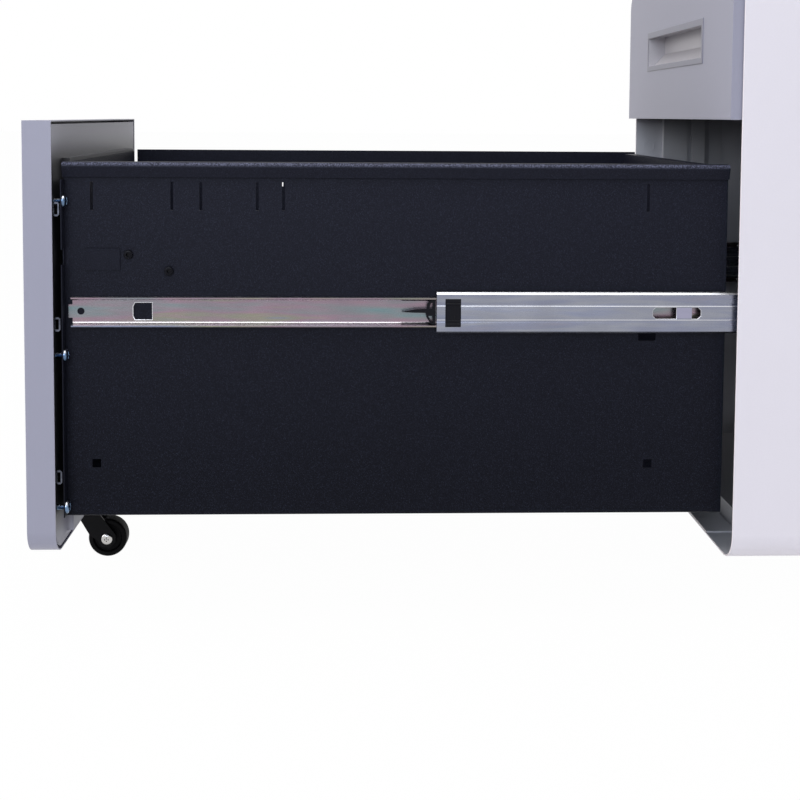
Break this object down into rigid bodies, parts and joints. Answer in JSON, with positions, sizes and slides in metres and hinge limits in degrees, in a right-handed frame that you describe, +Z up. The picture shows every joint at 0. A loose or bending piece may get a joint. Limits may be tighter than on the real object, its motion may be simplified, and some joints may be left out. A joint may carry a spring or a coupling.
{
  "type": "mobile filing cabinet",
  "caption": "Mobile steel pedestal with rounded corners, a box drawer over a full-extension file drawer on ball-bearing slides, recessed handles, lock and anti-tip caster.",
  "frame": {"origin": "on the floor, in the middle of the width, under the front edge of the outer shell", "axes": "+X to the right seen from the front, the drawers open towards -Y, +Z up"},
  "size_m": [0.4, 1.1998, 0.59],
  "materials": {
    "shell_paint": "satin",
    "front_paint": "satin",
    "inside_paint": "satin",
    "box_paint": "textured",
    "zinc": "zinc plated",
    "black_plastic": "matt",
    "handle_plastic": "matt",
    "bumper_rubber": "matt",
    "tread": "matt",
    "bright": "polished"
  },
  "bodies": {
    "cabinet": {"outer_shell": "shell_paint", "back_panel": "shell_paint", "front_base_channel": "shell_paint", "rear_base_channel": "shell_paint", "right_front_post": "shell_paint", "left_front_post": "shell_paint", "rear_posts": "shell_paint", "file_cabinet_member_right": "zinc", "file_cabinet_member_left": "zinc", "upper_cabinet_member_right": "zinc", "upper_cabinet_member_left": "zinc", "lock_bar_guides": "black_plastic", "caster_plates": "zinc"},
    "file_drawer": {"file_box": "box_paint", "file_box_back": "box_paint", "file_front": "front_paint", "file_front_inner": "inside_paint", "file_handle": "handle_plastic", "file_drawer_member_right": "zinc", "file_drawer_member_left": "zinc", "file_front_screws": "zinc", "file_box_studs": "black_plastic", "file_front_clips": "bright", "tip_caster_stem": "zinc"},
    "upper_drawer": {"upper_box": "box_paint", "upper_box_back": "box_paint", "upper_front": "front_paint", "upper_front_inner": "inside_paint", "upper_handle": "handle_plastic", "upper_drawer_member_right": "zinc", "upper_drawer_member_left": "zinc", "upper_front_screws": "zinc", "lock_barrel": "bright"},
    "file_middle": {"file_middle_member_right": "zinc", "file_middle_member_left": "zinc", "file_slide_bumpers": "bumper_rubber"},
    "file_outer_cages": {"file_outer_ball_cages": "bright"},
    "file_inner_cages": {"file_inner_ball_cages": "bright"},
    "file_levers": {"file_release_levers": "black_plastic"},
    "upper_middle": {"upper_middle_member_right": "zinc", "upper_middle_member_left": "zinc", "upper_slide_bumpers": "bumper_rubber"},
    "upper_outer_cages": {"upper_outer_ball_cages": "bright"},
    "upper_inner_cages": {"upper_inner_ball_cages": "bright"},
    "upper_levers": {"upper_release_levers": "black_plastic"},
    "lock_plug": {"lock_plug": "bright"},
    "lock_bar": {"lock_bar": "zinc"},
    "front_left_fork": {"front_left_fork": "black_plastic"},
    "front_left_wheel": {"front_left_wheel": "tread"},
    "front_right_fork": {"front_right_fork": "black_plastic"},
    "front_right_wheel": {"front_right_wheel": "tread"},
    "rear_left_fork": {"rear_left_fork": "black_plastic"},
    "rear_left_wheel": {"rear_left_wheel": "tread"},
    "rear_right_fork": {"rear_right_fork": "black_plastic"},
    "rear_right_wheel": {"rear_right_wheel": "tread"},
    "front_left_brake": {"front_left_brake": "black_plastic"},
    "front_right_brake": {"front_right_brake": "black_plastic"},
    "tip_fork": {"tip_caster_fork": "black_plastic", "tip_caster_axle": "bright"},
    "tip_wheel": {"tip_caster_wheel": "tread"}
  },
  "joints": [
    {"name": "file_drawer_slide", "type": "slide", "parent": "cabinet", "child": "file_drawer", "axis": [0, -1, 0], "range_m": [-0.59, 0]},
    {"name": "file_middle_slide", "type": "slide", "parent": "cabinet", "child": "file_middle", "axis": [0, -1, 0], "range_m": [-0.295, 0]},
    {"name": "file_outer_cages_slide", "type": "slide", "parent": "cabinet", "child": "file_outer_cages", "axis": [0, -1, 0], "range_m": [-0.1475, 0]},
    {"name": "file_inner_cages_slide", "type": "slide", "parent": "cabinet", "child": "file_inner_cages", "axis": [0, -1, 0], "range_m": [-0.4425, 0]},
    {"name": "file_lever_tilt", "type": "hinge", "parent": "file_drawer", "child": "file_levers", "pos_m": [0, -0.2591, 0.274], "axis": [1, 0, 0], "range_deg": [-6, 6], "stiffness_Nm_per_rad": 0.05},
    {"name": "upper_drawer_slide", "type": "slide", "parent": "cabinet", "child": "upper_drawer", "axis": [0, -1, 0], "range_m": [0, 0.59]},
    {"name": "upper_middle_slide", "type": "slide", "parent": "cabinet", "child": "upper_middle", "axis": [0, -1, 0], "range_m": [0, 0.295]},
    {"name": "upper_outer_cages_slide", "type": "slide", "parent": "cabinet", "child": "upper_outer_cages", "axis": [0, -1, 0], "range_m": [0, 0.1475]},
    {"name": "upper_inner_cages_slide", "type": "slide", "parent": "cabinet", "child": "upper_inner_cages", "axis": [0, -1, 0], "range_m": [0, 0.4425]},
    {"name": "upper_lever_tilt", "type": "hinge", "parent": "upper_drawer", "child": "upper_levers", "pos_m": [0, 0.3309, 0.5], "axis": [1, 0, 0], "range_deg": [-6, 6], "stiffness_Nm_per_rad": 0.05},
    {"name": "lock_turn", "type": "hinge", "parent": "upper_drawer", "child": "lock_plug", "pos_m": [0.15, 0, 0.5604], "axis": [0, -1, 0], "range_deg": [0, 90]},
    {"name": "lock_bar_lift", "type": "slide", "parent": "cabinet", "child": "lock_bar", "axis": [0, 0, 1], "range_m": [0, 0.008]},
    {"name": "front_left_swivel", "type": "hinge", "parent": "cabinet", "child": "front_left_fork", "pos_m": [-0.15, 0.105, 0.05], "axis": [0, 0, 1], "continuous": true},
    {"name": "front_left_roll", "type": "hinge", "parent": "front_left_fork", "child": "front_left_wheel", "pos_m": [-0.15, 0.127, 0.02], "axis": [1, 0, 0], "continuous": true},
    {"name": "front_left_brake_press", "type": "hinge", "parent": "front_left_fork", "child": "front_left_brake", "pos_m": [-0.15, 0.132, 0.0419], "axis": [1, 0, 0], "range_deg": [-12, 0]},
    {"name": "front_right_swivel", "type": "hinge", "parent": "cabinet", "child": "front_right_fork", "pos_m": [0.15, 0.105, 0.05], "axis": [0, 0, 1], "continuous": true},
    {"name": "front_right_roll", "type": "hinge", "parent": "front_right_fork", "child": "front_right_wheel", "pos_m": [0.15, 0.127, 0.02], "axis": [1, 0, 0], "continuous": true},
    {"name": "front_right_brake_press", "type": "hinge", "parent": "front_right_fork", "child": "front_right_brake", "pos_m": [0.15, 0.132, 0.0419], "axis": [1, 0, 0], "range_deg": [-12, 0]},
    {"name": "rear_left_swivel", "type": "hinge", "parent": "cabinet", "child": "rear_left_fork", "pos_m": [-0.15, 0.495, 0.05], "axis": [0, 0, 1], "continuous": true},
    {"name": "rear_left_roll", "type": "hinge", "parent": "rear_left_fork", "child": "rear_left_wheel", "pos_m": [-0.15, 0.517, 0.02], "axis": [1, 0, 0], "continuous": true},
    {"name": "rear_right_swivel", "type": "hinge", "parent": "cabinet", "child": "rear_right_fork", "pos_m": [0.15, 0.495, 0.05], "axis": [0, 0, 1], "continuous": true},
    {"name": "rear_right_roll", "type": "hinge", "parent": "rear_right_fork", "child": "rear_right_wheel", "pos_m": [0.15, 0.517, 0.02], "axis": [1, 0, 0], "continuous": true},
    {"name": "tip_caster_swivel", "type": "hinge", "parent": "file_drawer", "child": "tip_fork", "pos_m": [0, -0.587, 0.05], "axis": [0, 0, 1], "continuous": true},
    {"name": "tip_caster_roll", "type": "hinge", "parent": "tip_fork", "child": "tip_wheel", "pos_m": [0, -0.569, 0.019], "axis": [1, 0, 0], "continuous": true}
  ],
  "couplings": [
    {"joint": "file_middle_slide", "follows": "file_drawer_slide", "ratio": 0.5},
    {"joint": "file_outer_cages_slide", "follows": "file_drawer_slide", "ratio": 0.25},
    {"joint": "file_inner_cages_slide", "follows": "file_drawer_slide", "ratio": 0.75},
    {"joint": "upper_middle_slide", "follows": "upper_drawer_slide", "ratio": 0.5},
    {"joint": "upper_outer_cages_slide", "follows": "upper_drawer_slide", "ratio": 0.25},
    {"joint": "upper_inner_cages_slide", "follows": "upper_drawer_slide", "ratio": 0.75},
    {"joint": "lock_turn", "follows": "lock_bar_lift", "rad_per_m": 196.35}
  ]
}
